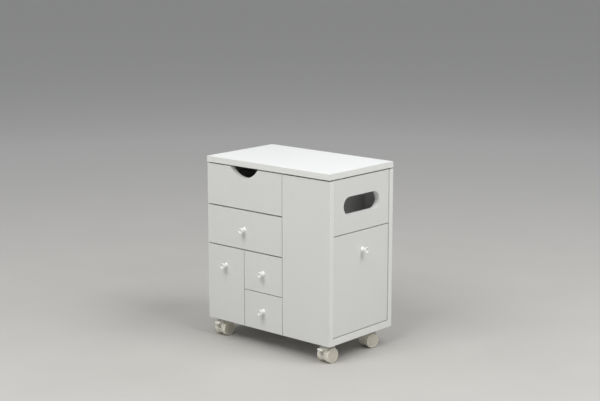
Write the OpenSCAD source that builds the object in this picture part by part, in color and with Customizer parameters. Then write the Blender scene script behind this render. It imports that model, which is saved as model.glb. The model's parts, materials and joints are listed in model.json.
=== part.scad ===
// Rolling cosmetics and desk cabinet: a white board box on four twin-wheel casters, with a
// hinged lid, five front drawers, one side drawer and a side pocket with an outlet slot.
// Every sub-part is placed in cabinet coordinates: x runs along the front from the left end,
// y runs from the drawer fronts to the back, and z runs up from the underside of the box.
// place() then moves the whole cabinet so that z = 0 is the floor under the middle.

/* [Box] */
// Width over the two ends
cabinet_w = 430; // [420:5:450]
// Depth from the drawer fronts to the back
cabinet_d = 258; // [250:2:280]
// Height of the box without the lid and the casters
cabinet_h = 429; // [425:1:440]
// Thickness of the side, back and front boards
board_t = 15; // [14:0.5:15]
// Thickness of the bottom board
base_t = 18; // [16:1:20]
// Thickness of the shelves and dividers
shelf_t = 12; // [10:1:12]

/* [Lid] */
// Thickness of the lid
lid_t = 15.5; // [12:0.5:20]
// How far the lid runs past the drawer fronts
lid_overhang = 1.5; // [0:0.5:3]
// Open shadow gap between the box and the lid
lid_gap = 3.5; // [3:0.1:3.5]

/* [Front layout] */
// Distance from the left end to the seam beside the plain front panel
panel_seam_x = 269.3; // [262:0.1:275]
// Distance from the left end to the seam between the tall and the small drawers
small_seam_x = 133.3; // [125:0.1:140]
// Height of the seam under the notched drawer
top_seam_z = 317.4; // [312:0.1:322]
// Height of the seam under the second drawer
middle_seam_z = 209.2; // [204:0.1:214]
// Height of the seam between the two small drawers
small_seam_z = 102.1; // [98:0.1:106]
// Open gap under the notched drawer
top_gap = 3.2; // [1.5:0.1:3.2]
// Open gap under the second drawer
middle_gap = 2.9; // [1.5:0.1:3.2]
// Open gap between the two small drawers
small_gap = 1.8; // [1.2:0.1:2.5]
// Open gap at the upright seams
upright_gap = 1.5; // [1:0.1:1.5]

/* [Finger notch] */
// Width of the notch along the top edge
notch_w = 98; // [80:1:110]
// Depth of the notch
notch_h = 26.5; // [20:0.5:30]

/* [Side] */
// How far the side drawer and the slot panel lie behind the end face
side_recess = 1.7; // [1:0.1:2]
// Height of the seam between the slot panel and the side drawer
side_seam_z = 285.1; // [280:0.1:290]
// Open gap at that seam
side_gap = 2.4; // [1.4:0.1:2.4]
// Length of the outlet slot
slot_l = 146; // [120:1:160]
// Height of the outlet slot
slot_h = 47.5; // [40:0.5:50]
// Height of the middle of the outlet slot
slot_z = 356.5; // [350:0.5:360]
// Width of the pocket behind the slot, measured inwards from the slot panel
pocket_w = 69; // [60:1:72]

/* [Drawer boxes] */
// Thickness of the drawer walls
wall_t = 9; // [8:0.5:10]
// Thickness of the drawer bottoms
bottom_t = 3; // [2.5:0.5:3.5]
// Play between a drawer box and its cell on each side
drawer_play = 1; // [0.8:0.1:1.2]
// Length of the front drawer boxes behind their fronts
drawer_l = 215; // [190:1:220]
// Length of the side drawer box behind its front
side_drawer_l = 130; // [110:1:132]

/* [Knobs] */
// Diameter of the knob head
knob_d = 16.5; // [15.5:0.5:18]
// Distance from the drawer front to the end of the knob
knob_l = 16; // [15:0.5:18]
// Height of the knob on the second drawer, as a share of its front
second_knob_up = 0.5; // [0.45:0.005:0.6]
// Height of the knob on the tall drawer, as a share of its front
tall_knob_up = 0.75; // [0.5:0.005:0.8]
// Height of the knob on the upper small drawer, as a share of its front
small_upper_knob_up = 0.49; // [0.4:0.005:0.6]
// Height of the knob on the lower small drawer, as a share of its front
small_lower_knob_up = 0.51; // [0.4:0.005:0.6]
// Height of the knob on the side drawer, as a share of its front
side_knob_up = 0.805; // [0.6:0.005:0.9]
// How far the knob on the side drawer sits behind the middle of its front
side_knob_back = 4.8; // [0:0.2:8]

/* [Casters] */
// Height from the floor to the underside of the box
caster_h = 50; // [50:0.5:52]
// Diameter of the wheels
wheel_d = 40; // [38:0.5:40]
// Width of one wheel
wheel_w = 14.5; // [12:0.5:15]
// Distance between the inner faces of the twin wheels
wheel_space = 10; // [10:0.5:11]
// Distance from the swivel axis to the wheel axle
trail = 15; // [14:0.5:16]
// Distance from the left end of the box to the swivel axes
caster_inset_left = 32; // [32:1:40]
// Distance from the right end of the box to the swivel axes
caster_inset_right = 27.5; // [24:0.5:34]
// Distance from the front and the back of the box to the swivel axes
caster_inset_y = 43; // [40:1:55]
// Angle at which the front left caster stands at rest
front_left_angle = -2; // [-30:1:30]
// Angle at which the front right caster stands at rest
front_right_angle = -5; // [-30:1:30]
// Angle at which the rear left caster stands at rest
rear_left_angle = -9; // [-30:1:30]
// Angle at which the rear right caster stands at rest
rear_right_angle = -14; // [-30:1:30]

/* [Hidden] */

$fn = 64;

// Colours of the materials
board_white = [0.80, 0.81, 0.79];
lid_white = [0.93, 0.94, 0.94];
inner_white = [0.78, 0.78, 0.76];
knob_white = [0.95, 0.95, 0.94];
nylon_white = [0.85, 0.84, 0.78];
hardboard = [0.82, 0.81, 0.78];
zinc = [0.72, 0.73, 0.74];
beech = [0.80, 0.66, 0.46];
clear_rubber = [0.80, 0.82, 0.82];

// Clearances: between pieces that move past each other, between a pin and its bore,
// and at a closed joint between two boards of one drawer box
air = 0.4;
pin_play = 0.05;
joint_line = 0.1;
through = 1;

// The cells of the box
seam_offset = 0.2;
pocket_floor_rise = 3;
inner_back_y = cabinet_d - board_t;
partition_x = panel_seam_x + seam_offset - board_t / 2;
side_cell_x = partition_x + board_t;
side_face_x = cabinet_w - side_recess;
side_inner_x = side_face_x - board_t;
divider_x = small_seam_x - shelf_t / 2;
pocket_floor_z = side_seam_z + pocket_floor_rise;
pocket_divider_x = side_inner_x - pocket_w - shelf_t;

// The lid hinge: its axis lies behind the box, halfway up the shadow gap
hinge_back = 3.5;
hinge_y = cabinet_d + hinge_back;
hinge_z = cabinet_h + lid_gap / 2;
hinge_r = 3;
hinge_pin_r = 1.5;
hinge_l = 50;
hinge_leaf_t = (lid_gap - air) / 2;
hinge_leaf_d = 13;
hinge_leaf_inset = 0.1;
hinge_knuckle_l = 16;
hinge_inset = 62;
hinge_x = [hinge_inset, cabinet_w - hinge_inset - hinge_l];
hinge_screw_inset = 9;
hinge_screw_x = [hinge_screw_inset, hinge_l - hinge_screw_inset];
hinge_screw_y = cabinet_d - 7;
hinge_screw_l = 11;
hinge_screw_r = 1.4;
hinge_screw_head_r = 2.7;

// The knob and its screw
knob_bore_r = 2;
knob_screw_l = board_t + 9;
knob_screw_head_r = 4;
knob_screw_head_h = 2.2;
knob_foot_r = 8;
knob_foot_h = 1.4;
knob_neck_r = 5.4;
knob_neck_z = [4.4, 8.6];
knob_rim_r = 2.2;
knob_lip_w = 0.25;
knob_dish_r = knob_d / 2 - knob_rim_r - knob_lip_w;
knob_dish_h = 3.2;

// The casters: sizes around the swivel axis (x = y = 0) with z = 0 on the floor
wheel_r = wheel_d / 2;
axle_r = 3;
web_w = wheel_space - 1.2;
web_r = wheel_r - 1.6;
web_low_z = 9;
hood_w = 25;
hood_inner_r = wheel_r + 0.7;
hood_r = hood_inner_r + 1.4;
hood_low_z = wheel_r + 5;
toe_slot_w = 6;
toe_slot_end = 12;
toe_slot_z = [wheel_r + 1, wheel_r + 11];
boss_r = 8.5;
plate_w = 38;
plate_corner_r = 4;
plate_t = 2.4;
plate_z = caster_h - plate_t;
race_r = 9.5;
race_h = 1.2;
boss_z = plate_z - race_h - air;
king_pin_r = 2.5;
king_pin_low_z = 30;
caster_screw_r = 1.9;
caster_screw_head_r = 3.6;
caster_screw_head_h = 1.8;
caster_screw_l = 12;
caster_screw_end_gap = 0.5;
caster_screw_offset = 14;
rolled_edge_r = 1.6;
cap_groove_r = 15.5;
cap_groove_w = 0.8;
cap_t = 3;
cap_sink = 0.3;

// The brake lever: a hub in front of the hood, on a pin between two lugs
lever_hub_r = 3.2;
lever_pin_r = 1.5;
lever_w = 17;
lever_lug_w = 2.5;
lever_t = 3;
lever_l = 14;
lever_toe_r = 2.6;
lever_toe_drop = 0.8;
lever_polar = hood_r + 1.9;
lever_at = 125;
lever_y = -trail + lever_polar * cos(lever_at);
lever_z = wheel_r + lever_polar * sin(lever_at);
lever_tilt = 8;

// Where the four casters stand, each [x, y, angle]: front left, front right, rear left,
// rear right
caster_at = [
    [caster_inset_left, caster_inset_y, front_left_angle],
    [cabinet_w - caster_inset_right, caster_inset_y, front_right_angle],
    [caster_inset_left, cabinet_d - caster_inset_y, rear_left_angle],
    [cabinet_w - caster_inset_right, cabinet_d - caster_inset_y, rear_right_angle]
];

// Each drawer: [front left, front right, front low, front high, cell left, cell right,
// cell floor, wall height, box length]. The side drawer reads left to right along the side.
half_upright = upright_gap / 2;
notched_wall_h = 72;
second_wall_h = 78;
tall_wall_h = 130;
small_upper_wall_h = 72;
small_lower_wall_h = 60;
side_wall_h = 150;
side_front_gap = 0.6;
side_back_gap = 1.8;
side_low_gap = 2.2;
notched_drawer = [0, panel_seam_x - half_upright, top_seam_z + top_gap / 2, cabinet_h,
    board_t, partition_x, top_seam_z + shelf_t / 2, notched_wall_h, drawer_l];
second_drawer = [0, panel_seam_x - half_upright, middle_seam_z + middle_gap / 2,
    top_seam_z - top_gap / 2, board_t, partition_x, middle_seam_z + shelf_t / 2,
    second_wall_h, drawer_l];
tall_drawer = [0, small_seam_x - half_upright, 0, middle_seam_z - middle_gap / 2,
    board_t, divider_x, base_t, tall_wall_h, drawer_l];
small_upper_drawer = [small_seam_x + half_upright, panel_seam_x - half_upright,
    small_seam_z + small_gap / 2, middle_seam_z - middle_gap / 2,
    divider_x + shelf_t, partition_x, small_seam_z + shelf_t / 2,
    small_upper_wall_h, drawer_l];
small_lower_drawer = [small_seam_x + half_upright, panel_seam_x - half_upright,
    0, small_seam_z - small_gap / 2,
    divider_x + shelf_t, partition_x, base_t, small_lower_wall_h, drawer_l];
side_drawer = [board_t + side_front_gap, inner_back_y - side_back_gap,
    base_t + side_low_gap, side_seam_z - side_gap / 2,
    board_t, inner_back_y, base_t, side_wall_h, side_drawer_l];

// Screws through the back panel into the boards in front of it: [x, z]
back_screw_r = 2;
back_screw_head_r = 4;
back_screw_head_h = 2;
back_screw_l = 45;
back_screw_at = [
    for (x = [board_t / 2, partition_x + board_t / 2], z = [60, 200, 385]) [x, z],
    for (x = [140, 350]) [x, base_t / 2]
];

// Dowels that join the boards: [centre, axis], where the axis is 0 for x, 1 for y and 2 for z
dowel_r = 4;
dowel_l = 24;
dowel_end_gap = 0.5;
dowel_at = [
    for (x = [305, 375]) [[x, board_t, base_t / 2], 1],
    for (x = [305, 385]) [[x, board_t, pocket_floor_z + board_t / 2], 1],
    for (z = [318, 400]) [[side_face_x - board_t / 2, board_t, z], 1],
    for (y = [85, 170]) [[board_t, y, base_t / 2], 0],
    for (y = [60, 200]) [[partition_x + board_t / 2, y, base_t], 2]
];

// Soft pads on the upper edges of the boards: [x, y]
bumper_r = 4;
bumper_at = [[board_t / 2, 60], [board_t / 2, 190], [partition_x + board_t / 2, 60],
    [side_inner_x + board_t / 2, 50]];

// The reference point of the cabinet: the middle of its outline on the floor, over the
// knobs, the lid and the hinges
centre_x = (side_face_x + knob_l) / 2;
centre_y = (hinge_y + hinge_r - knob_l) / 2;

module place() {
    translate([-centre_x, -centre_y, caster_h]) children();
}

// ---------------------------------------------------------------- shapes that repeat

// A board given by its lowest and highest corners
module board(low, high) {
    translate(low) cube(high - low);
}

// A plate with round corners, centred on the origin
module round_plate(w, r, h) {
    linear_extrude(h) {
        square([w - 2 * r, w], center = true);
        square([w, w - 2 * r], center = true);
        for (x = [-1, 1], y = [-1, 1]) translate([x, y] * (w / 2 - r)) circle(r);
    }
}

// A cylinder along x, centred on x = 0
module bar_x(r, l) {
    rotate([0, 90, 0]) cylinder(r = r, h = l, center = true);
}

// A countersunk screw along z: the flat head ends at z = 0 and the shank runs to -l
module flat_head_screw(r, head_r, head_h, l, play = 0) {
    translate([0, 0, -head_h]) cylinder(r1 = r + play, r2 = head_r + play, h = head_h);
    translate([0, 0, -l - play]) cylinder(r = r + play, h = l + play - head_h / 2);
    if (play > 0) translate([0, 0, -play]) cylinder(r = head_r + play, h = through);
}

// A pan head screw along z: the head sits on z = 0 and the shank runs to -l
module pan_head_screw(r, head_r, head_h, l) {
    translate([0, 0, -l]) cylinder(r = r, h = l);
    cylinder(r1 = head_r, r2 = head_r * 0.75, h = head_h);
}

module dowel_shape(index, r, l) {
    spot = dowel_at[index];
    turn = [[0, 90, 0], [90, 0, 0], [0, 0, 0]][spot[1]];
    translate(spot[0]) rotate(turn) cylinder(r = r, h = l, center = true);
}

module back_screw_shape(index, play = 0) {
    spot = back_screw_at[index];
    translate([spot[0], cabinet_d, spot[1]]) rotate([-90, 0, 0])
        flat_head_screw(back_screw_r, back_screw_head_r, back_screw_head_h, back_screw_l, play);
}

// A board of the box with the holes for every dowel and back screw that enters it
module joined_board(low, high) {
    difference() {
        board(low, high);
        for (i = [0:len(dowel_at) - 1])
            dowel_shape(i, dowel_r + pin_play, dowel_l + 2 * dowel_end_gap);
        for (i = [0:len(back_screw_at) - 1]) back_screw_shape(i, pin_play);
        children();
    }
}

// ---------------------------------------------------------------- box

module left_side_panel() {
    place() color(board_white)
        joined_board([0, board_t, 0], [board_t, inner_back_y, cabinet_h]);
}

module back_panel() {
    place() color(board_white)
        joined_board([0, inner_back_y, 0], [cabinet_w, cabinet_d, cabinet_h]) {
            for (x = hinge_x) translate([x, 0, cabinet_h]) hinge_screw_pair(pin_play);
        }
}

module front_panel() {
    place() color(board_white)
        joined_board([panel_seam_x + half_upright, 0, 0], [cabinet_w, board_t, cabinet_h]);
}

// The panel above the side drawer, with the long round-ended outlet slot
module slot_panel() {
    slot_r = slot_h / 2;
    slot_mid_y = cabinet_d / 2;
    place() color(board_white)
        joined_board([side_inner_x, board_t, side_seam_z + side_gap / 2],
            [side_face_x, inner_back_y - upright_gap, cabinet_h]) {
            translate([side_inner_x - through, slot_mid_y, slot_z])
                rotate([90, 0, 90]) linear_extrude(board_t + 2 * through) {
                    square([slot_l - slot_h, slot_h], center = true);
                    for (x = [-1, 1]) translate([x * (slot_l / 2 - slot_r), 0]) circle(slot_r);
                }
        }
}

module bottom_board() {
    place() color(board_white)
        joined_board([board_t, board_t, 0], [cabinet_w, inner_back_y, base_t]) {
            for (at = caster_at) translate([at[0], at[1], 0])
                caster_screw_holes();
        }
}

module centre_partition() {
    place() color(inner_white)
        joined_board([partition_x, board_t, base_t],
            [partition_x + board_t, inner_back_y, cabinet_h]);
}

module top_shelf() {
    place() color(inner_white)
        board([board_t, board_t, top_seam_z - shelf_t / 2],
            [partition_x, inner_back_y, top_seam_z + shelf_t / 2]);
}

module middle_shelf() {
    place() color(inner_white)
        board([board_t, board_t, middle_seam_z - shelf_t / 2],
            [partition_x, inner_back_y, middle_seam_z + shelf_t / 2]);
}

module small_divider() {
    place() color(inner_white)
        board([divider_x, board_t, base_t],
            [divider_x + shelf_t, inner_back_y, middle_seam_z - shelf_t / 2]);
}

module small_shelf() {
    place() color(inner_white)
        board([divider_x + shelf_t, board_t, small_seam_z - shelf_t / 2],
            [partition_x, inner_back_y, small_seam_z + shelf_t / 2]);
}

module pocket_floor() {
    place() color(inner_white)
        joined_board([side_cell_x, board_t, pocket_floor_z],
            [side_inner_x, inner_back_y, pocket_floor_z + board_t]);
}

module pocket_divider() {
    place() color(inner_white)
        board([pocket_divider_x, board_t, pocket_floor_z + board_t],
            [pocket_divider_x + shelf_t, inner_back_y, cabinet_h]);
}

module back_screws() {
    place() color(zinc)
        for (i = [0:len(back_screw_at) - 1]) back_screw_shape(i);
}

module dowels() {
    place() color(beech)
        for (i = [0:len(dowel_at) - 1]) dowel_shape(i, dowel_r, dowel_l);
}

// The pads that take the lid as it closes
module lid_bumpers() {
    place() color(clear_rubber)
        for (at = bumper_at) translate([at[0], at[1], cabinet_h])
            cylinder(r1 = bumper_r, r2 = bumper_r * 0.8, h = lid_gap - air);
}

// ---------------------------------------------------------------- lid and hinges

// The two screws of one hinge leaf, heads upward
module hinge_screw_pair(play = 0) {
    for (x = hinge_screw_x) translate([x, hinge_screw_y, hinge_leaf_t])
        flat_head_screw(hinge_screw_r, hinge_screw_head_r, hinge_leaf_t, hinge_screw_l, play);
}

// One leaf: a plate on top of the back panel and the knuckles it carries behind the box
module hinge_leaf(knuckles) {
    difference() {
        union() {
            translate([0, cabinet_d - hinge_leaf_d, cabinet_h])
                cube([hinge_l, hinge_leaf_d - hinge_leaf_inset, hinge_leaf_t]);
            for (span = knuckles) {
                translate([span[0], cabinet_d - hinge_leaf_inset - through, cabinet_h])
                    cube([span[1] - span[0], hinge_back + hinge_leaf_inset + through,
                        hinge_leaf_t]);
                translate([(span[0] + span[1]) / 2, hinge_y, hinge_z])
                    bar_x(hinge_r, span[1] - span[0]);
            }
        }
        translate([hinge_l / 2, hinge_y, hinge_z])
            bar_x(hinge_pin_r + pin_play, hinge_l + 2 * through);
        translate([0, 0, cabinet_h]) hinge_screw_pair(pin_play);
    }
}

// Turns a leaf or a screw pair over about the hinge axis, for the lid's side
module turn_over() {
    translate([0, 0, hinge_z]) mirror([0, 0, 1]) translate([0, 0, -hinge_z]) children();
}

module hinge_body_leaves() {
    place() color(zinc)
        for (x = hinge_x) translate([x, 0, 0])
            hinge_leaf([[0, hinge_knuckle_l], [hinge_l - hinge_knuckle_l, hinge_l]]);
}

module hinge_lid_leaves() {
    place() color(zinc)
        for (x = hinge_x) translate([x, 0, 0])
            turn_over() hinge_leaf([[hinge_knuckle_l + air, hinge_l - hinge_knuckle_l - air]]);
}

module hinge_body_screws() {
    place() color(zinc)
        for (x = hinge_x) translate([x, 0, cabinet_h]) hinge_screw_pair();
}

module hinge_lid_screws() {
    place() color(zinc)
        for (x = hinge_x) translate([x, 0, 0])
            turn_over() translate([0, 0, cabinet_h]) hinge_screw_pair();
}

module hinge_pins() {
    head_r = 2.4;
    head_t = 0.8;
    place() color(zinc)
        for (x = hinge_x) translate([x + hinge_l / 2, hinge_y, hinge_z]) {
            bar_x(hinge_pin_r, hinge_l + 2 * head_t);
            for (side = [-1, 1]) translate([side * (hinge_l + head_t) / 2, 0, 0])
                bar_x(head_r, head_t);
        }
}

module lid() {
    low_z = cabinet_h + lid_gap;
    place() color(lid_white)
        difference() {
            board([0, -lid_overhang, low_z], [cabinet_w, cabinet_d, low_z + lid_t]);
            for (x = hinge_x) translate([x, 0, 0])
                turn_over() translate([0, 0, cabinet_h]) hinge_screw_pair(pin_play);
        }
}

// ---------------------------------------------------------------- drawers

// Where a drawer's knob sits on its front: [along the front, up]
function knob_at(d, up, along) = [(d[0] + d[1]) / 2 + along, d[2] + up * (d[3] - d[2])];

// The overlay front of one drawer, with the hole for its knob screw
module drawer_front(d, up, along = 0) {
    spot = knob_at(d, up, along);
    difference() {
        board([d[0], 0, d[2]], [d[1], board_t, d[3]]);
        translate([spot[0], -through, spot[1]]) rotate([-90, 0, 0])
            cylinder(r = knob_bore_r + pin_play, h = board_t + 2 * through);
    }
}

// The panel that slides into the grooves of the drawer walls, or the space for it
module drawer_bottom(d, play = 0) {
    groove = 4;
    rise = 5;
    board([d[4] + drawer_play + wall_t - groove - play, board_t, d[6] + air + rise - play],
        [d[5] - drawer_play - wall_t + groove + play,
            board_t + d[8] - wall_t + groove + play, d[6] + air + rise + bottom_t + play]);
}

// The two sides and the back of one drawer box, grooved for the bottom panel
module drawer_walls(d) {
    left = d[4] + drawer_play;
    right = d[5] - drawer_play;
    low = d[6] + air;
    high = low + d[7];
    difference() {
        union() {
            board([left, board_t, low], [left + wall_t, board_t + d[8], high]);
            board([right - wall_t, board_t, low], [right, board_t + d[8], high]);
            board([left + wall_t + joint_line, board_t + d[8] - wall_t, low],
                [right - wall_t - joint_line, board_t + d[8], high]);
        }
        drawer_bottom(d, joint_line);
    }
}

// Lathe outline of the knob, from the flared foot on the front to the dished head
knob_outline = concat(
    [[0, 0], [knob_foot_r, 0], [knob_foot_r, knob_foot_h], [knob_neck_r, knob_neck_z[0]],
        [knob_neck_r, knob_neck_z[1]]],
    [for (a = [-60:15:90]) [
        knob_d / 2 - knob_rim_r + knob_rim_r * cos(a),
        knob_l - knob_rim_r + knob_rim_r * sin(a)]],
    [for (a = [0:15:90]) [
        knob_dish_r * cos(a),
        knob_l - knob_dish_h * sin(a)]]
);

// A turned knob standing out of its drawer front, with the screw that holds it
module drawer_knob(d, up, along = 0) {
    spot = knob_at(d, up, along);
    screw_reach = knob_screw_l - board_t;
    translate([spot[0], 0, spot[1]]) {
        color(knob_white) rotate([90, 0, 0]) difference() {
            rotate_extrude() polygon(knob_outline);
            translate([0, 0, -through])
                cylinder(r = knob_bore_r + pin_play, h = screw_reach + through + air);
        }
        color(zinc) translate([0, board_t, 0]) rotate([-90, 0, 0])
            pan_head_screw(knob_bore_r, knob_screw_head_r, knob_screw_head_h, knob_screw_l);
    }
}

// Carries a drawer written along the front round to the right-hand end of the box
module on_side() {
    translate([side_face_x, 0, 0]) rotate([0, 0, 90]) children();
}

// The round-bottomed finger notch in the top edge of the first drawer front
module finger_notch() {
    notch_r = (pow(notch_w / 2, 2) + pow(notch_h, 2)) / (2 * notch_h);
    translate([(notched_drawer[0] + notched_drawer[1]) / 2, -through,
        cabinet_h - notch_h + notch_r])
        rotate([-90, 0, 0]) cylinder(r = notch_r, h = board_t + 2 * through, $fn = 128);
}

module notched_drawer_front() {
    d = notched_drawer;
    place() color(board_white) difference() {
        board([d[0], 0, d[2]], [d[1], board_t, d[3]]);
        finger_notch();
    }
}

module notched_drawer_walls() { place() color(inner_white) drawer_walls(notched_drawer); }
module notched_drawer_bottom() { place() color(hardboard) drawer_bottom(notched_drawer); }

module second_drawer_front() {
    place() color(board_white) drawer_front(second_drawer, second_knob_up);
}
module second_drawer_walls() { place() color(inner_white) drawer_walls(second_drawer); }
module second_drawer_bottom() { place() color(hardboard) drawer_bottom(second_drawer); }
module second_drawer_knob() { place() drawer_knob(second_drawer, second_knob_up); }

module tall_drawer_front() {
    place() color(board_white) drawer_front(tall_drawer, tall_knob_up);
}
module tall_drawer_walls() { place() color(inner_white) drawer_walls(tall_drawer); }
module tall_drawer_bottom() { place() color(hardboard) drawer_bottom(tall_drawer); }
module tall_drawer_knob() { place() drawer_knob(tall_drawer, tall_knob_up); }

module small_upper_drawer_front() {
    place() color(board_white) drawer_front(small_upper_drawer, small_upper_knob_up);
}
module small_upper_drawer_walls() {
    place() color(inner_white) drawer_walls(small_upper_drawer);
}
module small_upper_drawer_bottom() {
    place() color(hardboard) drawer_bottom(small_upper_drawer);
}
module small_upper_drawer_knob() {
    place() drawer_knob(small_upper_drawer, small_upper_knob_up);
}

module small_lower_drawer_front() {
    place() color(board_white) drawer_front(small_lower_drawer, small_lower_knob_up);
}
module small_lower_drawer_walls() {
    place() color(inner_white) drawer_walls(small_lower_drawer);
}
module small_lower_drawer_bottom() {
    place() color(hardboard) drawer_bottom(small_lower_drawer);
}
module small_lower_drawer_knob() {
    place() drawer_knob(small_lower_drawer, small_lower_knob_up);
}

module side_drawer_front() {
    place() color(board_white) on_side()
        drawer_front(side_drawer, side_knob_up, side_knob_back);
}
module side_drawer_walls() { place() color(inner_white) on_side() drawer_walls(side_drawer); }
module side_drawer_bottom() { place() color(hardboard) on_side() drawer_bottom(side_drawer); }
module side_drawer_knob() {
    place() on_side() drawer_knob(side_drawer, side_knob_up, side_knob_back);
}

// ---------------------------------------------------------------- casters

// Moves a caster written around its swivel axis, with z = 0 on the floor, to its corner
module at_caster(index) {
    translate([caster_at[index][0], caster_at[index][1], -caster_h]) children();
}

// The same, turned to the angle at which the caster stands at rest
module at_caster_turned(index) {
    at_caster(index) rotate([0, 0, caster_at[index][2]]) children();
}

// The four screw positions of a caster plate
module at_caster_screws() {
    for (x = [-1, 1], y = [-1, 1]) translate([x, y, 0] * caster_screw_offset) children();
}

// Pilot holes in the bottom board, seen from the underside of the box
module caster_screw_holes() {
    translate([0, 0, -through]) at_caster_screws()
        cylinder(r = caster_screw_r + pin_play, h = caster_screw_l + through);
}

// The fixed plates: a plate, the bearing ring under it and the king pin
module caster_plates() {
    place() color(zinc) for (i = [0:3]) at_caster(i) {
        difference() {
            translate([0, 0, plate_z]) round_plate(plate_w, plate_corner_r, plate_t);
            translate([0, 0, plate_z - through]) at_caster_screws()
                cylinder(r = caster_screw_r + pin_play, h = plate_t + 2 * through);
        }
        translate([0, 0, plate_z - race_h]) cylinder(r = race_r, h = race_h);
        translate([0, 0, king_pin_low_z]) cylinder(r = king_pin_r, h = plate_z - king_pin_low_z);
    }
}

module caster_screws() {
    place() color(zinc) for (i = [0:3]) at_caster(i) translate([0, 0, plate_z])
        at_caster_screws() rotate([180, 0, 0])
            pan_head_screw(caster_screw_r, caster_screw_head_r, caster_screw_head_h,
                plate_t + caster_screw_l - caster_screw_end_gap);
}

// Puts a shape on the wheel axle
module on_axle() {
    translate([0, -trail, wheel_r]) children();
}

// The housing: a round web between the wheels, a hood over them and a boss for the king pin.
// With a brake it also has a slot in its toe, and the two lugs and the pin of the lever.
module caster_housing(braked) {
    wheel_room_w = (hood_w - web_w) / 2 + through;
    difference() {
        union() {
            on_axle() difference() {
                bar_x(web_r, web_w);
                translate([-web_w, -wheel_r, -wheel_r])
                    cube([2 * web_w, wheel_d, web_low_z]);
            }
            on_axle() difference() {
                bar_x(hood_r, hood_w);
                translate([-hood_w / 2 - through, -hood_r - through, -hood_r - through])
                    cube([hood_w + 2 * through, 2 * (hood_r + through),
                        hood_low_z - wheel_r + hood_r + through]);
            }
            translate([0, 0, wheel_r]) cylinder(r = boss_r, h = boss_z - wheel_r);
            if (braked) for (side = [-1, 1])
                translate([side * (lever_w + lever_lug_w + air) / 2, lever_y, lever_z])
                    bar_x(lever_hub_r, lever_lug_w);
        }
        for (side = [-1, 1])
            on_axle() translate([side * (web_w + wheel_room_w) / 2, 0, 0])
                bar_x(hood_inner_r, wheel_room_w);
        on_axle() bar_x(axle_r + pin_play, web_w + 2 * through);
        translate([0, 0, king_pin_low_z - air])
            cylinder(r = king_pin_r + pin_play, h = caster_h - king_pin_low_z);
        if (braked) {
            translate([0, lever_y, lever_z]) bar_x(lever_hub_r + air, lever_w + air);
            translate([-toe_slot_w / 2, -trail - hood_r - through, toe_slot_z[0]])
                cube([toe_slot_w, hood_r + through - toe_slot_end, toe_slot_z[1] - toe_slot_z[0]]);
        }
    }
    if (braked) translate([0, lever_y, lever_z])
        bar_x(lever_pin_r, lever_w + air + 2 * lever_lug_w);
}

// Half outline of one wheel: x is the radius and y runs from the inner to the outer face
wheel_outline = concat(
    [[axle_r + pin_play, 0]],
    [for (a = [-90:15:0]) [
        wheel_r - rolled_edge_r + rolled_edge_r * cos(a),
        rolled_edge_r + rolled_edge_r * sin(a)]],
    [for (a = [0:15:90]) [
        wheel_r - rolled_edge_r + rolled_edge_r * cos(a),
        wheel_w - rolled_edge_r + rolled_edge_r * sin(a)]],
    [[cap_groove_r + cap_groove_w, wheel_w], [cap_groove_r, wheel_w - cap_groove_w],
        [cap_groove_r - cap_groove_w, wheel_w - cap_sink], [0, wheel_w - cap_sink],
        [0, wheel_w - cap_t], [axle_r + pin_play, wheel_w - cap_t]]
);

// The twin wheels and the axle that joins them through the housing
module caster_wheels() {
    axle_l = wheel_space + 2 * (wheel_w - cap_t) - 2 * pin_play;
    on_axle() {
        for (side = [0, 1]) mirror([side, 0, 0])
            translate([wheel_space / 2, 0, 0]) rotate([0, 90, 0])
                rotate_extrude() polygon(wheel_outline);
        color(zinc) bar_x(axle_r, axle_l);
    }
}

// The foot lever: a hub on the pin and a flat pedal with a thick round toe, pointing away
// from the king pin
module brake_lever() {
    pedal_w = lever_w - air;
    translate([-pedal_w / 2, lever_y, lever_z]) rotate([90, 0, 90]) linear_extrude(pedal_w)
        difference() {
            union() {
                circle(lever_hub_r);
                rotate(lever_tilt) translate([-lever_l, -lever_t / 2]) square([lever_l, lever_t]);
                rotate(lever_tilt) translate([-lever_l, -lever_toe_drop]) circle(lever_toe_r);
            }
            circle(lever_pin_r + pin_play);
        }
}

module front_left_caster_housing() {
    place() color(nylon_white) at_caster_turned(0) caster_housing(true);
}
module front_left_caster_wheels() {
    place() color(nylon_white) at_caster_turned(0) caster_wheels();
}
module front_left_brake_lever() {
    place() color(nylon_white) at_caster_turned(0) brake_lever();
}
module front_right_caster_housing() {
    place() color(nylon_white) at_caster_turned(1) caster_housing(true);
}
module front_right_caster_wheels() {
    place() color(nylon_white) at_caster_turned(1) caster_wheels();
}
module front_right_brake_lever() {
    place() color(nylon_white) at_caster_turned(1) brake_lever();
}
module rear_left_caster_housing() {
    place() color(nylon_white) at_caster_turned(2) caster_housing(false);
}
module rear_left_caster_wheels() {
    place() color(nylon_white) at_caster_turned(2) caster_wheels();
}
module rear_right_caster_housing() {
    place() color(nylon_white) at_caster_turned(3) caster_housing(false);
}
module rear_right_caster_wheels() {
    place() color(nylon_white) at_caster_turned(3) caster_wheels();
}

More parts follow.
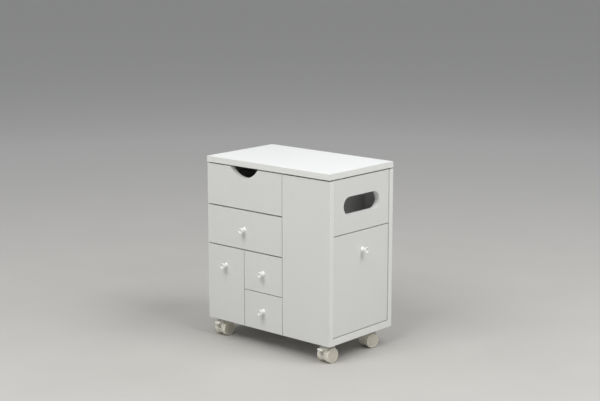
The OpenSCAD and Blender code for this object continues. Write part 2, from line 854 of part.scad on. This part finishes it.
left_side_panel();
back_panel();
front_panel();
slot_panel();
bottom_board();
centre_partition();
top_shelf();
middle_shelf();
small_divider();
small_shelf();
pocket_floor();
pocket_divider();
back_screws();
dowels();
lid_bumpers();
lid();
hinge_lid_leaves();
hinge_lid_screws();
hinge_body_leaves();
hinge_body_screws();
hinge_pins();
notched_drawer_front();
notched_drawer_walls();
notched_drawer_bottom();
second_drawer_front();
second_drawer_walls();
second_drawer_bottom();
second_drawer_knob();
tall_drawer_front();
tall_drawer_walls();
tall_drawer_bottom();
tall_drawer_knob();
small_upper_drawer_front();
small_upper_drawer_walls();
small_upper_drawer_bottom();
small_upper_drawer_knob();
small_lower_drawer_front();
small_lower_drawer_walls();
small_lower_drawer_bottom();
small_lower_drawer_knob();
side_drawer_front();
side_drawer_walls();
side_drawer_bottom();
side_drawer_knob();
caster_plates();
caster_screws();
front_left_caster_housing();
front_left_caster_wheels();
front_left_brake_lever();
front_right_caster_housing();
front_right_caster_wheels();
front_right_brake_lever();
rear_left_caster_housing();
rear_left_caster_wheels();
rear_right_caster_housing();
rear_right_caster_wheels();
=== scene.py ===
"""Looks of the rolling pedestal cabinet: white faced board, turned knobs and nylon casters.

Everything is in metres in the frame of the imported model: z up from the floor, the front
drawers face -Y and the slot and the side drawer face +X.
"""

import json
import math

import bmesh
import bpy
from mathutils import Matrix, Vector


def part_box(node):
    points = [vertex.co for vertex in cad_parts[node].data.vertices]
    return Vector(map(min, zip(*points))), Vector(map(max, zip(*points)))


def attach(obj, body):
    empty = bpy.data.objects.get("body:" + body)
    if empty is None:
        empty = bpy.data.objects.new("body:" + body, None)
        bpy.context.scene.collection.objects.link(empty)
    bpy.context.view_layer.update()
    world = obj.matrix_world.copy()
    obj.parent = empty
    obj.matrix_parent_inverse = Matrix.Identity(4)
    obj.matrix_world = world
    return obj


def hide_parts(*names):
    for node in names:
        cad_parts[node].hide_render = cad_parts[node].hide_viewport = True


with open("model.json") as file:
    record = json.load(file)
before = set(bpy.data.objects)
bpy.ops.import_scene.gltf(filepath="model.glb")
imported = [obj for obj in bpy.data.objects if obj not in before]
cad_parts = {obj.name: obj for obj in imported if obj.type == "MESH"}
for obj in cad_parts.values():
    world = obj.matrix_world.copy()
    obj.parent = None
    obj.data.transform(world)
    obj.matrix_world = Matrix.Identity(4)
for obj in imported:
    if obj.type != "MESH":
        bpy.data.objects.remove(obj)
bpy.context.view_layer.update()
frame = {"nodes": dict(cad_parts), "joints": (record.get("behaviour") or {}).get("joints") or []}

MM = 0.001
nodes = frame["nodes"]
joints = {j["name"]: j for j in frame["joints"]}

DRAWERS = ["notched_drawer", "second_drawer", "tall_drawer",
           "small_upper_drawer", "small_lower_drawer", "side_drawer"]
KNOBBED = DRAWERS[1:]
CORNERS = ["front_left", "front_right", "rear_left", "rear_right"]
BRAKED = CORNERS[:2]
INNER_BOARDS = ["centre_partition", "top_shelf", "middle_shelf", "small_divider", "small_shelf",
                "pocket_floor", "pocket_divider"]


# ---------------------------------------------------------------- camera

def make_camera():
    """The photograph's viewing angle: from the right-hand front, a little above the top."""
    azimuth = math.radians(41.25)
    elevation = math.radians(11.51)
    place = Vector((2.36055, -2.69205, 1.1148))
    data = bpy.data.cameras.new("camera")
    data.sensor_width = 36.0
    data.lens = 82.32
    camera = bpy.data.objects.new("camera", data)
    bpy.context.scene.collection.objects.link(camera)
    forward = Vector((-math.sin(azimuth) * math.cos(elevation),
                      math.cos(azimuth) * math.cos(elevation),
                      -math.sin(elevation)))
    camera.location = place
    camera.rotation_euler = forward.to_track_quat("-Z", "Y").to_euler()
    bpy.context.scene.camera = camera


make_camera()


# ---------------------------------------------------------------- node helpers

class Shader:
    """A material's node tree with short calls for the nodes that the looks use."""

    def __init__(self, name):
        self.material = bpy.data.materials.new(name)
        self.material.use_nodes = True
        self.tree = self.material.node_tree
        self.tree.nodes.clear()
        self.out = self.add("ShaderNodeOutputMaterial")
        self.bsdf = self.add("ShaderNodeBsdfPrincipled")
        self.link(self.bsdf.outputs[0], self.out.inputs[0])
        self.coord = self.add("ShaderNodeTexCoord")

    def add(self, kind, **settings):
        """A new node of that kind."""
        node = self.tree.nodes.new(kind)
        for key, value in settings.items():
            setattr(node, key, value)
        return node

    def link(self, a, b):
        self.tree.links.new(a, b)

    def plain(self, **values):
        """Sets sockets of the shader that are the same all over the surface."""
        for key, value in values.items():
            self.bsdf.inputs[key.replace("_", " ")].default_value = value

    def scaled(self, scale):
        """The object's own coordinates, stretched along each axis."""
        node = self.add("ShaderNodeMapping")
        node.inputs["Scale"].default_value = scale
        self.link(self.coord.outputs["Object"], node.inputs["Vector"])
        return node.outputs["Vector"]

    def noise(self, scale, detail=2.0, rough=0.5, stretch=(1, 1, 1)):
        """Cloudy noise; the scale is in cycles per metre."""
        node = self.add("ShaderNodeTexNoise")
        node.inputs["Scale"].default_value = scale
        node.inputs["Detail"].default_value = detail
        node.inputs["Roughness"].default_value = rough
        self.link(self.scaled(stretch), node.inputs["Vector"])
        return node.outputs["Fac"]

    def span(self, value, low, high, to_low, to_high):
        """The value moved from one range to another, and held at the ends."""
        node = self.add("ShaderNodeMapRange")
        node.inputs["From Min"].default_value = low
        node.inputs["From Max"].default_value = high
        node.inputs["To Min"].default_value = to_low
        node.inputs["To Max"].default_value = to_high
        self.link(value, node.inputs["Value"])
        return node.outputs["Result"]

    def math(self, kind, a, b=None):
        """One sum on sockets or plain numbers."""
        node = self.add("ShaderNodeMath", operation=kind)
        for slot, value in zip(node.inputs, (a, b)):
            if value is None:
                continue
            if isinstance(value, (int, float)):
                slot.default_value = value
            else:
                self.link(value, slot)
        return node.outputs[0]

    def mix(self, factor, a, b):
        """A blend from colour a to colour b; each is a colour or a socket."""
        node = self.add("ShaderNodeMix", data_type="RGBA")
        self.link(factor, node.inputs["Factor"])
        for slot, value in ((node.inputs["A"], a), (node.inputs["B"], b)):
            if isinstance(value, tuple):
                slot.default_value = (*value, 1)
            else:
                self.link(value, slot)
        return node.outputs["Result"]

    def colour(self, value):
        self.link(value, self.bsdf.inputs["Base Color"])

    def roughness(self, value):
        self.link(value, self.bsdf.inputs["Roughness"])

    def bump(self, height, strength, distance):
        node = self.add("ShaderNodeBump")
        node.inputs["Strength"].default_value = strength
        node.inputs["Distance"].default_value = distance
        self.link(height, node.inputs["Height"])
        self.link(node.outputs["Normal"], self.bsdf.inputs["Normal"])


# ---------------------------------------------------------------- materials

def faced_board(name, thin_axis, face, edge, rough=0.42, level_edge_shade=None, upward=True):
    """White sheet on board, with taped edges. Edges that face down, or up, can be darkened with
    painted shade.
    """
    s = Shader(name)
    normal = s.add("ShaderNodeSeparateXYZ")
    s.link(s.coord.outputs["Normal"], normal.inputs[0])
    along = s.math("ABSOLUTE", normal.outputs["XYZ".index(thin_axis)])
    is_face = s.span(along, 0.55, 0.75, 0, 1)
    cloud = s.span(s.noise(9, 3), 0.3, 0.7, 0, 1)
    tone = s.mix(cloud, tuple(c * 0.985 for c in face), face)
    tape_and_shade = s.mix(cloud, tuple(c * 0.99 for c in edge), edge)
    # Painted shade: edges that face up or down can take a darker grey, for the shade in the gaps
    # along them.
    if level_edge_shade:
        level = (s.math("ABSOLUTE", normal.outputs["Z"]) if upward
                 else s.math("MULTIPLY", normal.outputs["Z"], -1.0))
        tape_and_shade = s.mix(s.span(level, 0.75, 0.9, 0, 1), tape_and_shade, level_edge_shade)
    s.colour(s.mix(is_face, tape_and_shade, tone))
    s.roughness(s.span(s.noise(40, 4, 0.6), 0.3, 0.7, rough - 0.04, rough + 0.05))
    s.bump(s.noise(900, 2, 0.6), 0.12, 0.0002)
    s.plain(IOR=1.5)
    return s.material


def drawer_board(name):
    """Matt paper-faced board of the drawer walls, a little duller along the cut upper edges."""
    s = Shader(name)
    normal = s.add("ShaderNodeSeparateXYZ")
    s.link(s.coord.outputs["Normal"], normal.inputs[0])
    up = s.span(normal.outputs["Z"], 0.7, 0.9, 0, 1)
    paper = s.mix(s.span(s.noise(30, 4), 0.3, 0.7, 0, 1), (0.72, 0.72, 0.70), (0.77, 0.77, 0.75))
    fibres = s.noise(380, 4, 0.65)
    cut = s.mix(s.span(fibres, 0.35, 0.65, 0, 1), (0.66, 0.65, 0.62), (0.73, 0.72, 0.69))
    s.colour(s.mix(up, paper, cut))
    s.roughness(s.span(s.noise(200, 3), 0.3, 0.7, 0.5, 0.65))
    s.bump(fibres, 0.12, 0.0002)
    return s.material


def inner_board(name):
    """Matt paper-faced board. Its front edge, which the drawer fronts hide, is raw chipboard."""
    s = Shader(name)
    normal = s.add("ShaderNodeSeparateXYZ")
    s.link(s.coord.outputs["Normal"], normal.inputs[0])
    forward = s.span(normal.outputs["Y"], -0.9, -0.7, 1, 0)
    flakes = s.noise(420, 3, 0.65, (1, 1, 2.4))
    chip = s.mix(s.span(flakes, 0.35, 0.65, 0, 1), (0.30, 0.21, 0.12), (0.50, 0.38, 0.24))
    paper = s.mix(s.span(s.noise(30, 4), 0.3, 0.7, 0, 1), (0.70, 0.70, 0.68), (0.75, 0.75, 0.73))
    s.colour(s.mix(forward, paper, chip))
    s.roughness(s.span(s.noise(200, 3), 0.3, 0.7, 0.55, 0.7))
    s.bump(flakes, 0.15, 0.0002)
    return s.material


def lid_board(name):
    """The lid: bright satin top, taped edges, and a duller backing sheet underneath."""
    s = Shader(name)
    normal = s.add("ShaderNodeSeparateXYZ")
    s.link(s.coord.outputs["Normal"], normal.inputs[0])
    up = s.span(normal.outputs["Z"], 0.55, 0.75, 0, 1)
    down = s.span(normal.outputs["Z"], -0.75, -0.55, 1, 0)
    cloud = s.span(s.noise(7, 3), 0.3, 0.7, 0, 1)
    top = s.mix(cloud, (0.855, 0.865, 0.862), (0.87, 0.88, 0.877))
    backing = s.mix(cloud, (0.53, 0.53, 0.51), (0.57, 0.57, 0.55))
    s.colour(s.mix(down, s.mix(up, BOARD_EDGE, top), backing))
    s.roughness(s.span(s.noise(45, 4, 0.6), 0.3, 0.7, 0.32, 0.42))
    s.bump(s.noise(900, 2, 0.6), 0.12, 0.0002)
    s.plain(IOR=1.5)
    return s.material


def moulded(name, colour, rough, fleck=0.96):
    """Moulded nylon: a faint mottle, a fine surface grain and a little light under the skin."""
    s = Shader(name)
    mottle = s.span(s.noise(90, 4, 0.6), 0.3, 0.7, 0, 1)
    s.colour(s.mix(mottle, tuple(c * fleck for c in colour), colour))
    s.roughness(s.span(s.noise(260, 4, 0.6), 0.3, 0.7, rough - 0.06, rough + 0.08))
    s.bump(s.noise(1500, 3, 0.6), 0.15, 0.0001)
    s.plain(IOR=1.53)
    s.bsdf.inputs["Subsurface Weight"].default_value = 0.04
    s.bsdf.inputs["Subsurface Radius"].default_value = (0.002, 0.0016, 0.001)
    return s.material


def wheel_plastic(name):
    """Nylon wheel: a tread with fine running scuffs, and caps on the sides; one nylon, with the
    tread painted lighter and the caps darker as painted light and shade.
    """
    s = Shader(name)
    mottle = s.span(s.noise(90, 4, 0.6), 0.3, 0.7, 0, 1)
    tread = s.mix(mottle, (0.84, 0.81, 0.70), (0.88, 0.85, 0.74))
    cap = s.mix(mottle, (0.64, 0.61, 0.515), (0.68, 0.65, 0.55))
    normal = s.add("ShaderNodeSeparateXYZ")
    s.link(s.coord.outputs["Normal"], normal.inputs[0])
    side = s.span(s.math("ABSOLUTE", normal.outputs["X"]), 0.80, 0.93, 0, 1)
    # Painted light and shade: the sideways-facing caps take a darker copy of the tread's nylon,
    # and the tread a lighter one.
    s.colour(s.mix(side, tread, cap))
    scuffs = s.noise(320, 4, 0.7, (6, 1, 1))
    s.roughness(s.span(scuffs, 0.3, 0.7, 0.34, 0.5))
    s.bump(scuffs, 0.12, 0.0001)
    s.plain(IOR=1.53)
    return s.material


def zinc_plate(name):
    """Bright zinc plate with a fine mottled spangle."""
    s = Shader(name)
    spangle = s.add("ShaderNodeTexVoronoi")
    spangle.inputs["Scale"].default_value = 600
    s.link(s.scaled((1, 1, 1)), spangle.inputs["Vector"])
    grain = s.span(spangle.outputs["Distance"], 0.0, 0.9, 0, 1)
    s.colour(s.mix(grain, (0.56, 0.57, 0.59), (0.70, 0.71, 0.72)))
    s.roughness(s.span(s.noise(300, 4, 0.6), 0.3, 0.7, 0.26, 0.42))
    s.bump(s.noise(1200, 3), 0.1, 0.0001)
    s.plain(Metallic=1.0)
    return s.material


def fibre_board(name):
    """Thin hardboard with a painted face: a soft fibrous mottle."""
    s = Shader(name)
    fibres = s.noise(260, 5, 0.7, (1, 3, 1))
    s.colour(s.mix(s.span(fibres, 0.3, 0.7, 0, 1), (0.69, 0.68, 0.65), (0.77, 0.76, 0.73)))
    s.roughness(s.span(s.noise(120, 3), 0.3, 0.7, 0.5, 0.62))
    s.bump(fibres, 0.2, 0.0002)
    return s.material


def beech_wood(name):
    """Raw beech with short darker flecks along the grain."""
    s = Shader(name)
    grain = s.noise(180, 4, 0.6, (1, 1, 0.2))
    s.colour(s.mix(s.span(grain, 0.35, 0.65, 0, 1), (0.50, 0.31, 0.16), (0.68, 0.47, 0.28)))
    s.roughness(s.span(grain, 0.3, 0.7, 0.55, 0.7))
    s.bump(grain, 0.2, 0.0002)
    return s.material


def simple(name, colour, rough, **more):
    """Plain plastic or rubber with a slight mottle; more sets further sockets of the shader."""
    s = Shader(name)
    tone = s.mix(s.span(s.noise(60, 3), 0.3, 0.7, 0, 1), tuple(c * 0.97 for c in colour), colour)
    s.colour(tone)
    s.roughness(s.span(s.noise(150, 3), 0.3, 0.7, rough - 0.05, rough + 0.05))
    s.bump(s.noise(700, 2), 0.1, 0.0001)
    s.plain(**more)
    return s.material


BOARD_FACE = (0.80, 0.81, 0.785)
BOARD_EDGE = (0.87, 0.875, 0.85)
# Painted shade: this grey darkens the drawer fronts' edges, for the shade in the seams between
# fronts.
FRONT_EDGE_SHADE = (0.62, 0.62, 0.60)
# Painted shade: this grey darkens the boards' upward and downward edges, for the shade in the
# gaps along them.
LEVEL_EDGE_SHADE = (0.60, 0.60, 0.58)
# Painted shade: the side, back and front panels' upward and downward edges are grey, for the
# shade in the gaps along them.
board_materials = {axis: faced_board("board_" + axis, axis, BOARD_FACE, BOARD_EDGE,
                                     level_edge_shade=None if axis == "Z" else LEVEL_EDGE_SHADE)
                   for axis in "XYZ"}
# Painted highlight: the slot panel's edges are whiter than the other boards' edges, for the light
# on the slot's rim.
slot_material = faced_board("slot_board", "X", BOARD_FACE, (0.93, 0.935, 0.93), 0.36)
# Painted shade: the drawer fronts' edges are grey, for the shade in the seams between fronts.
front_materials = {axis: faced_board("front_" + axis, axis, BOARD_FACE, FRONT_EDGE_SHADE)
                   for axis in "XY"}
# Painted shade: the notched front's downward-facing edges are grey, for the shade under them.
notched_material = faced_board("notched_front", "Y", BOARD_FACE, BOARD_EDGE,
                               level_edge_shade=FRONT_EDGE_SHADE, upward=False)
lid_material = lid_board("lid_board")
inner_material = inner_board("inner_board")
drawer_material = drawer_board("drawer_board")
hardboard = fibre_board("hardboard")
knob_white = simple("knob_white", (0.96, 0.96, 0.95), 0.2, IOR=1.52, Coat_Weight=0.9,
                    Coat_Roughness=0.05)
nylon = moulded("nylon", (0.83, 0.81, 0.73), 0.24)
lever_nylon = moulded("lever_nylon", (0.90, 0.885, 0.83), 0.18)
wheel_nylon = wheel_plastic("wheel_nylon")
zinc = zinc_plate("zinc")
beech = beech_wood("beech")
rubber = simple("clear_rubber", (0.7, 0.72, 0.72), 0.35)


def assign(node, material):
    """Gives a CAD node its material in every slot it has."""
    data = nodes[node].data
    data.materials.clear()
    data.materials.append(material)


BOARD_AXIS = {"left_side_panel": "X", "back_panel": "Y", "front_panel": "Y", "bottom_board": "Z"}
for name, axis in BOARD_AXIS.items():
    assign(name, board_materials[axis])
for name in INNER_BOARDS:
    assign(name, inner_material)
assign("slot_panel", slot_material)
assign("lid", lid_material)
for name in DRAWERS:
    assign(name + "_walls", drawer_material)
    assign(name + "_bottom", hardboard)
assign("notched_drawer_front", notched_material)
for name in KNOBBED:
    assign(name + "_front", front_materials["X" if name == "side_drawer" else "Y"])
for name in ("hinge_lid_leaves", "hinge_body_leaves", "hinge_pins", "caster_plates"):
    assign(name, zinc)
assign("dowels", beech)
for corner in CORNERS:
    assign(corner + "_caster_housing", nylon)
for corner in BRAKED:
    assign(corner + "_brake_lever", lever_nylon)


# ---------------------------------------------------------------- rounded edges

def round_edges(node, width, segments=3):
    """A small radius on every sharp edge of a CAD node."""
    modifier = nodes[node].modifiers.new("edges", "BEVEL")
    modifier.width = width
    modifier.segments = segments
    modifier.limit_method = "ANGLE"
    modifier.angle_limit = math.radians(35)
    modifier.harden_normals = True
    modifier.use_clamp_overlap = True


round_edges("lid", 1.8 * MM)
for name in [*BOARD_AXIS, "slot_panel"]:
    round_edges(name, 0.6 * MM)
for name in DRAWERS:
    round_edges(name + "_front", 0.6 * MM)
    round_edges(name + "_walls", 0.4 * MM, 2)
for name in INNER_BOARDS:
    round_edges(name, 0.4 * MM, 2)
for name in ("hinge_lid_leaves", "hinge_body_leaves", "caster_plates"):
    round_edges(name, 0.25 * MM, 2)
for corner in CORNERS:
    round_edges(corner + "_caster_housing", 0.5 * MM)
for corner in BRAKED:
    round_edges(corner + "_brake_lever", 0.8 * MM)


# ---------------------------------------------------------------- turned pieces

def softened(outline, radius, steps=5):
    """The same outline with each corner rounded over, up to that distance on either side."""
    points = [Vector(p) for p in outline]
    result = [points[0]]
    for before, here, after in zip(points, points[1:], points[2:]):
        reach_in = min(radius, (before - here).length * 0.48)
        reach_out = min(radius, (after - here).length * 0.48)
        start = here + (before - here).normalized() * reach_in
        end = here + (after - here).normalized() * reach_out
        for step in range(steps + 1):
            t = step / steps
            result.append(start * (1 - t) ** 2 + here * 2 * t * (1 - t) + end * t ** 2)
    result.append(points[-1])
    return [(p.x, p.y) for p in result]


def turn(bm, outline, place, turns=72):
    """Adds a shape turned about z from (radius, height) points in millimetres."""
    rings = []
    for radius, height in outline:
        if radius < 1e-4:
            rings.append([bm.verts.new(place @ Vector((0, 0, height * MM)))])
            continue
        ring = []
        for k in range(turns):
            angle = math.tau * k / turns
            spot = Vector((radius * math.cos(angle), radius * math.sin(angle), height))
            ring.append(bm.verts.new(place @ (spot * MM)))
        rings.append(ring)
    for low, high in zip(rings, rings[1:]):
        for k in range(turns):
            corners = [low[k % len(low)], low[(k + 1) % len(low)],
                       high[(k + 1) % len(high)], high[k % len(high)]]
            bm.faces.new(list(dict.fromkeys(corners)))
    return rings


def piece(name, bm, material, body, slot, *stands_for):
    """Turns a finished bmesh into a smooth-shaded piece that rides on a body."""
    bmesh.ops.recalc_face_normals(bm, faces=bm.faces)
    mesh = bpy.data.meshes.new(name)
    bm.to_mesh(mesh)
    bm.free()
    mesh.materials.append(material)
    mesh.shade_smooth()
    mesh.set_sharp_from_angle(angle=math.radians(38))
    obj = bpy.data.objects.new(name, mesh)
    bpy.context.scene.collection.objects.link(obj)
    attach(obj, body)
    if stands_for:
        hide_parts(*stands_for)


def solids(node):
    """(lowest corner, highest corner) of each separate solid of a CAD node, in the frame."""
    bm = bmesh.new()
    bm.from_mesh(nodes[node].data)
    bmesh.ops.remove_doubles(bm, verts=bm.verts, dist=0.001 * MM)
    seen = set()
    boxes = []
    for start in bm.verts:
        if start in seen:
            continue
        seen.add(start)
        island = [start]
        for vert in island:
            others = {edge.other_vert(vert) for edge in vert.link_edges} - seen
            seen |= others
            island.extend(others)
        boxes.append(tuple(Vector(pick(vert.co[axis] for vert in island) for axis in range(3))
                           for pick in (min, max)))
    bm.free()
    return boxes


def side_spot(low, high, direction):
    """The middle of the side of a box that a direction along an axis points out of."""
    return (low + high) / 2 + direction * abs((high - low).dot(direction)) / 2


def level_with(target, spot, direction):
    """The spot moved along a direction until it is level with the target."""
    return spot + direction * (target - spot).dot(direction)


def facing(spot, direction):
    """Puts z of a turned shape along a direction at a spot in the frame."""
    return Matrix.Translation(spot) @ direction.to_track_quat("Z", "Y").to_matrix().to_4x4()


# ---------------------------------------------------------------- screws and pads

UP = Vector((0, 0, 1))
BACK = Vector((0, 1, 0))

# Sizes of the screws and pads in millimetres
BACK_HEAD = {"radius": 4, "shank_r": 2, "head_h": 2, "recess_r": 2.2}
LEAF_HEAD = {"radius": 2.7, "shank_r": 1.4, "head_h": 1.5, "recess_r": 1.5}
PLATE_HEAD = {"radius": 3.6, "height": 1.8, "recess_r": 2.0}
KNOB_HEAD = {"radius": 4.0, "height": 2.2, "recess_r": 2.1}
CROSS_DEPTH = 1.0
SHANK_L = 3
SUNK = 0.08
PAD_OUTLINE = [(0, 0), (4, 0), (4, 1.0), (3.1, 3.0), (0, 3.1)]


def cross_recess(bm, rim, place, height, recess_r):
    """Closes a ring with a face that a cross point has been pressed into."""
    turns = len(rim)
    previous = rim
    for share, depth in ((0.92, 0.12), (0.72, 0.5), (0.5, 0.75), (0.3, 0.95)):
        ring = []
        for k in range(turns):
            angle = math.tau * k / turns
            arm = abs(math.sin(2 * angle))
            pressed = depth if arm < 0.5 or share < 0.4 else 0.0
            spot = Vector((recess_r * share * math.cos(angle), recess_r * share * math.sin(angle),
                           height - pressed * CROSS_DEPTH))
            ring.append(bm.verts.new(place @ (spot * MM)))
        for k in range(turns):
            bm.faces.new((previous[k], previous[(k + 1) % turns], ring[(k + 1) % turns], ring[k]))
        previous = ring
    middle = bm.verts.new(place @ Vector((0, 0, (height - CROSS_DEPTH) * MM)))
    for k in range(turns):
        bm.faces.new((previous[k], previous[(k + 1) % turns], middle))


def pan_head(bm, place, radius, height, recess_r):
    """A pan screw head with a cross recess."""
    rim = [(radius, 0), (radius * 0.98, height * 0.35), (radius * 0.86, height * 0.78),
           (radius * 0.62, height * 0.97), (recess_r, height)]
    rings = turn(bm, softened([(0, 0)] + rim, 0.3), place, 48)
    cross_recess(bm, rings[-1], place, height, recess_r)


def flat_head(bm, place, radius, shank_r, head_h, recess_r):
    """A countersunk screw head, its top a hair under the surface, with a cross recess."""
    top = -SUNK
    foot = -head_h - SHANK_L
    rim = [(0, foot), (shank_r, foot), (shank_r, -head_h), (radius - 0.1, top - 0.1),
           (radius - 0.3, top), (recess_r, top)]
    rings = turn(bm, rim, place, 48)
    cross_recess(bm, rings[-1], place, top, recess_r)


def make_screws():
    """Every screw in a board whose head can be seen, with its cross recess."""
    for node, body, outward, head in (("back_screws", "carcass", BACK, BACK_HEAD),
                                      ("hinge_body_screws", "carcass", UP, LEAF_HEAD),
                                      ("hinge_lid_screws", "lid", -UP, LEAF_HEAD)):
        bm = bmesh.new()
        for low, high in solids(node):
            flat_head(bm, facing(side_spot(low, high, outward), outward), **head)
        piece(node.removesuffix("s") + "_heads", bm, zinc, body, "zinc_steel", node)
    bm = bmesh.new()
    for low, high in solids("caster_screws"):
        under_plate = side_spot(low, high, -UP) + UP * PLATE_HEAD["height"] * MM
        pan_head(bm, facing(under_plate, -UP), **PLATE_HEAD)
    piece("caster_screw_heads", bm, zinc, "carcass", "zinc_steel", "caster_screws")


def make_pads():
    """The soft domed pads that take the lid."""
    bm = bmesh.new()
    for low, high in solids("lid_bumpers"):
        turn(bm, softened(PAD_OUTLINE, 0.9), facing(side_spot(low, high, -UP), UP), 48)
    piece("lid_pads", bm, rubber, "carcass", "clear_rubber", "lid_bumpers")


make_screws()
make_pads()


# ---------------------------------------------------------------- knobs

# From the foot on the drawer front to the dished head
KNOB_OUTLINE = [(0, 0), (8, 0), (8, 1.3), (5.4, 4.4), (5.3, 8.6), (7.2, 12.0),
                (8.25, 13.3), (8.25, 14.9), (7.2, 16), (6.0, 16), (4.9, 14.1), (2.6, 13.0),
                (0, 12.8)]


def make_knob(drawer):
    """The turned knob on a drawer front, and the pan head of its screw inside the drawer."""
    outward = Vector(joints[drawer + "_slide"]["axis"])
    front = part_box(drawer + "_front")
    tip = side_spot(*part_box(drawer + "_knob"), outward)
    outside = level_with(side_spot(*front, outward), tip, outward)
    inside = level_with(side_spot(*front, -outward), tip, outward)
    bm = bmesh.new()
    turn(bm, softened(KNOB_OUTLINE, 1.3, 6), facing(outside, outward), 96)
    piece(drawer + "_turned_knob", bm, knob_white, drawer, "gloss_knob", drawer + "_knob")
    bm = bmesh.new()
    pan_head(bm, facing(inside, -outward), **KNOB_HEAD)
    piece(drawer + "_knob_screw", bm, zinc, drawer, "zinc_steel")


for name in KNOBBED:
    make_knob(name)


# ---------------------------------------------------------------- caster wheels

# From the inner side, over the tread, to the cap with its rim groove
WHEEL_OUTLINE = [(0, 0.9), (8.2, 0.9), (9.2, 0), (18.2, 0), (19.5, 0.5), (19.85, 2.2), (20, 5),
                 (20, 9.5), (19.85, 12.3), (19.5, 14.0), (18.2, 14.5), (16.5, 14.5),
                 (16.2, 14.3), (15.95, 13.5), (15.2, 13.5), (14.95, 14.0), (11, 14.2),
                 (5, 14.4), (0, 14.45)]
WHEEL_SPACE = 10


def make_wheels(corner):
    """The twin wheels of one caster, with the rim groove and the slightly domed cap."""
    node = corner + "_caster_wheels"
    axis = Vector(joints[corner + "_roll"]["axis"])
    low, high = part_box(node)
    middle = (low + high) / 2
    bm = bmesh.new()
    for side in (-1, 1):
        inner = middle + axis * side * WHEEL_SPACE / 2 * MM
        turn(bm, softened(WHEEL_OUTLINE, 0.6, 4), facing(inner, axis * side), 96)
    piece(corner + "_twin_wheels", bm, wheel_nylon, corner + "_wheels", "nylon_wheel", node)


for name in CORNERS:
    make_wheels(name)


# ---------------------------------------------------------------- stage and light

def make_stage():
    """A plain pale floor, a little paler away from the cabinet, where less light falls."""
    bpy.ops.mesh.primitive_plane_add(size=60, location=(0, 0, 0))
    floor = bpy.context.object
    floor.name = "floor"
    s = Shader("floor")
    reach = s.add("ShaderNodeVectorMath", operation="LENGTH")
    s.link(s.coord.outputs["Object"], reach.inputs[0])
    away = s.span(reach.outputs["Value"], 0.5, 3.5, 0, 1)
    near = s.mix(s.span(s.noise(3, 3), 0.3, 0.7, 0, 1), (0.52, 0.505, 0.48), (0.55, 0.535, 0.51))
    s.colour(s.mix(away, near, (0.93, 0.925, 0.915)))
    s.plain(Roughness=0.7)
    floor.data.materials.append(s.material)


LIGHT_AIM = Vector((0, 0, 0.25))


def soft_box(name, place, width, power):
    """A square white light that looks at the middle of the cabinet."""
    data = bpy.data.lights.new(name, "AREA")
    data.shape = "RECTANGLE"
    data.size = width
    data.size_y = width
    data.energy = power
    light = bpy.data.objects.new(name, data)
    bpy.context.scene.collection.objects.link(light)
    light.location = place
    direction = LIGHT_AIM - Vector(place)
    light.rotation_euler = direction.to_track_quat("-Z", "Y").to_euler()


def make_light():
    """A soft box high over the front, another high over the right-hand end, a weaker one over
    the top, and a dim even surround."""
    soft_box("front_key", (0.15, -1.75, 2.5), width=1.5, power=41.5)
    soft_box("side_key", (1.75, 0.15, 2.5), width=1.5, power=40.5)
    soft_box("overhead", (-0.3, 0.2, 2.9), width=2.0, power=13.5)
    world = bpy.data.worlds.new("world")
    bpy.context.scene.world = world
    world.use_nodes = True
    surround = world.node_tree.nodes["Background"]
    surround.inputs["Color"].default_value = (0.86, 0.87, 0.88, 1)
    surround.inputs["Strength"].default_value = 0.29
    bpy.context.scene.view_settings.view_transform = "Standard"


make_stage()
make_light()
